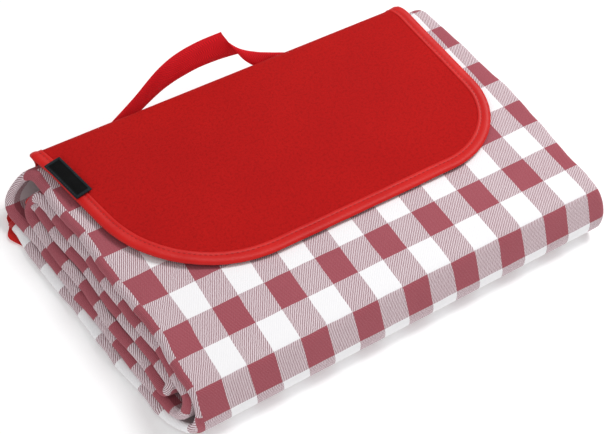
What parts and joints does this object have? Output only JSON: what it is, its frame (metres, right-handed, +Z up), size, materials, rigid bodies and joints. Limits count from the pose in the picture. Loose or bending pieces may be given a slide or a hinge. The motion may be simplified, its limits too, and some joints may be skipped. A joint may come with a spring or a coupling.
{
  "type": "folded picnic blanket with strap handle",
  "caption": "Gingham picnic blanket, pleated and rolled flat, with a bound red cover flap closed by hook and loop tape and a strap handle on its spine.",
  "frame": {"origin": "in the middle of the cover's base panel, on its underside, which is the flat face the folded packet rests on", "axes": "+X along the folded packet's long side, from the pleated left end to the bound right end; +Y from the front fold towards the spine with the handle; +Z up"},
  "size_m": [0.3893, 0.2667, 0.0766],
  "materials": {
    "gingham": "woven polyester gingham in dusty rose and white, matt",
    "wadding": "soft needled wadding",
    "backing_film": "waterproof film, satin",
    "hem_tape": "folded tape",
    "cover_cloth": "red plain-weave cover cloth, matt",
    "cover_lining": "thin red lining",
    "binding_tape": "bright red folded tape with a soft sheen",
    "webbing": "red woven strap",
    "thread": "polyester sewing thread",
    "hook_and_loop": "hook and loop tape",
    "label": "blank woven label, black with a slate border"
  },
  "bodies": {
    "blanket": {"face_cloth": "gingham", "wadding": "wadding", "backing_film": "backing_film", "side_hem_first": "hem_tape", "side_hem_second": "hem_tape", "end_hem_outer": "hem_tape", "end_hem_inner": "hem_tape", "loop_strip": "hook_and_loop", "loop_strip_stitch": "thread", "base_panel": "cover_cloth", "base_binding_front": "binding_tape", "base_binding_left": "binding_tape", "base_binding_right": "binding_tape"},
    "spine": {"spine_lining": "cover_lining", "spine_panel": "cover_cloth", "spine_binding_left": "binding_tape", "spine_binding_right": "binding_tape", "strap_end_left": "webbing", "strap_end_right": "webbing", "strap_stitch_left": "thread", "strap_stitch_right": "thread"},
    "handle": {"handle_strap": "webbing"},
    "flap": {"flap_lining": "cover_lining", "flap_panel": "cover_cloth", "flap_binding": "binding_tape", "flap_binding_stitch": "thread", "hook_strip": "hook_and_loop", "hook_strip_stitch": "thread", "label": "label", "label_stitch": "thread"}
  },
  "joints": [
    {"name": "spine_hinge", "type": "hinge", "parent": "blanket", "child": "spine", "pos_m": [0, 0.1247, 0.0018], "axis": [-1, 0, 0], "range_deg": [0, 90]},
    {"name": "flap_hinge", "type": "hinge", "parent": "spine", "child": "flap", "pos_m": [0, 0.1255, 0.047], "axis": [-1, 0, 0], "range_deg": [0, 110]},
    {"name": "handle_swing", "type": "hinge", "parent": "spine", "child": "handle", "pos_m": [0, 0.1281, 0.036], "axis": [-1, 0, 0], "range_deg": [0, 100]}
  ]
}
